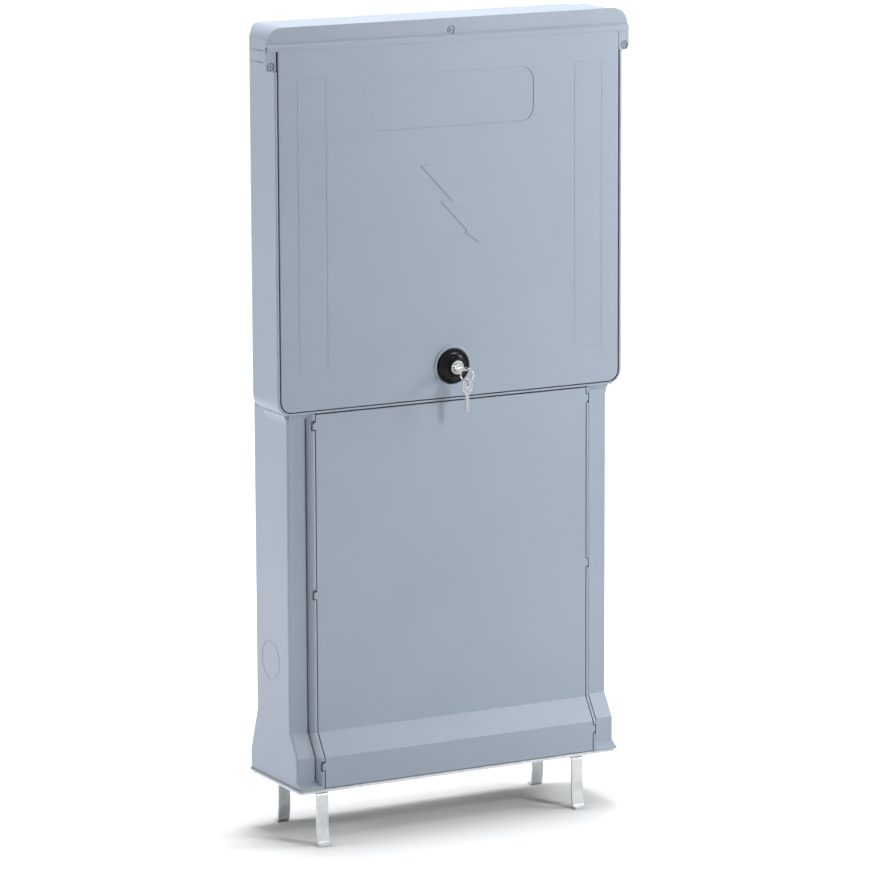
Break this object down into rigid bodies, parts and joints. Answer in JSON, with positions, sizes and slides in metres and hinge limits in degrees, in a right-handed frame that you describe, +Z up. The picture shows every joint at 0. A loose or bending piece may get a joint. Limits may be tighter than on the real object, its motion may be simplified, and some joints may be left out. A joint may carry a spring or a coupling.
{
  "type": "electrical pillar cabinet",
  "caption": "Outdoor electrical pillar cabinet: top-hung door with keyed lock over a pedestal with lift-off cover, on a bolted anchor frame with strip anchors.",
  "frame": {"origin": "on the ground under the tips of the anchors, in the middle of the whole object's footprint", "axes": "+Z up, -Y is the front with the door and the pedestal's cover, +X to the right as seen from the front"},
  "size_m": [0.643, 0.2026, 1.291],
  "materials": {
    "housing": "moulded fibre-reinforced plastic, fine matt grain, blue-grey",
    "black_plastic": "satin black moulding",
    "lock_metal": "nickel-plated, lightly worn",
    "zinc_steel": "bright zinc-plated",
    "galvanised": "hot-dip galvanised, soft spangle",
    "rubber": "matt black sealing rubber",
    "board": "smooth laminate, off-white",
    "cleat_plastic": "dark grey polyamide"
  },
  "bodies": {
    "cabinet": {"upper_casing": "housing", "pedestal_shell": "housing", "header_cap": "housing", "header_screw": "housing", "lug_screws": "housing", "hinge_pins": "zinc_steel", "lock_keeper": "zinc_steel", "keeper_screws": "zinc_steel", "cover_bolts": "zinc_steel", "cover_nuts": "zinc_steel", "casing_bolts": "zinc_steel", "casing_nuts": "zinc_steel", "board_screws": "zinc_steel", "rail_screws": "zinc_steel", "cleat_screws": "zinc_steel", "cable_rail": "zinc_steel", "frame_bolts": "zinc_steel", "frame_nuts": "zinc_steel", "anchor_bolts": "zinc_steel", "anchor_frame": "galvanised", "anchor_front_left": "galvanised", "anchor_front_right": "galvanised", "anchor_rear_left": "galvanised", "anchor_rear_right": "galvanised", "door_gasket": "rubber", "cable_grommets": "rubber", "mounting_board": "board", "cable_cleats": "cleat_plastic"},
    "door": {"door_panel": "housing", "lock_rosette": "black_plastic", "lock_body": "zinc_steel", "lock_nut": "zinc_steel"},
    "lock_core": {"lock_barrel": "lock_metal", "latch_cam": "zinc_steel", "cam_screw": "zinc_steel"},
    "key": {"key": "lock_metal"},
    "key_ring": {"key_ring": "lock_metal"},
    "spare_key": {"spare_key": "lock_metal"},
    "base_cover": {"base_cover": "housing"}
  },
  "joints": [
    {"name": "door_hinge", "type": "hinge", "parent": "cabinet", "child": "door", "pos_m": [0, -0.03668, 1.243], "axis": [-1, 0, 0], "range_deg": [0, 80]},
    {"name": "lock_turn", "type": "hinge", "parent": "door", "child": "lock_core", "pos_m": [0, -0.06868, 0.742], "axis": [0, 1, 0], "range_deg": [0, 90]},
    {"name": "key_withdraw", "type": "slide", "parent": "lock_core", "child": "key", "axis": [0, -1, 0], "range_m": [0, 0.028]},
    {"name": "ring_swing", "type": "hinge", "parent": "key", "child": "key_ring", "pos_m": [0.00367, -0.09132, 0.742], "axis": [0.5736, -0.8192, 0], "range_deg": [-20, 20]},
    {"name": "spare_key_swing", "type": "hinge", "parent": "key_ring", "child": "spare_key", "pos_m": [0.00367, -0.09132, 0.72232], "axis": [0.342, -0.9397, 0], "range_deg": [-25, 25]},
    {"name": "cover_pull", "type": "slide", "parent": "cabinet", "child": "base_cover", "axis": [0, -1, 0], "range_m": [0, 0.025]}
  ]
}
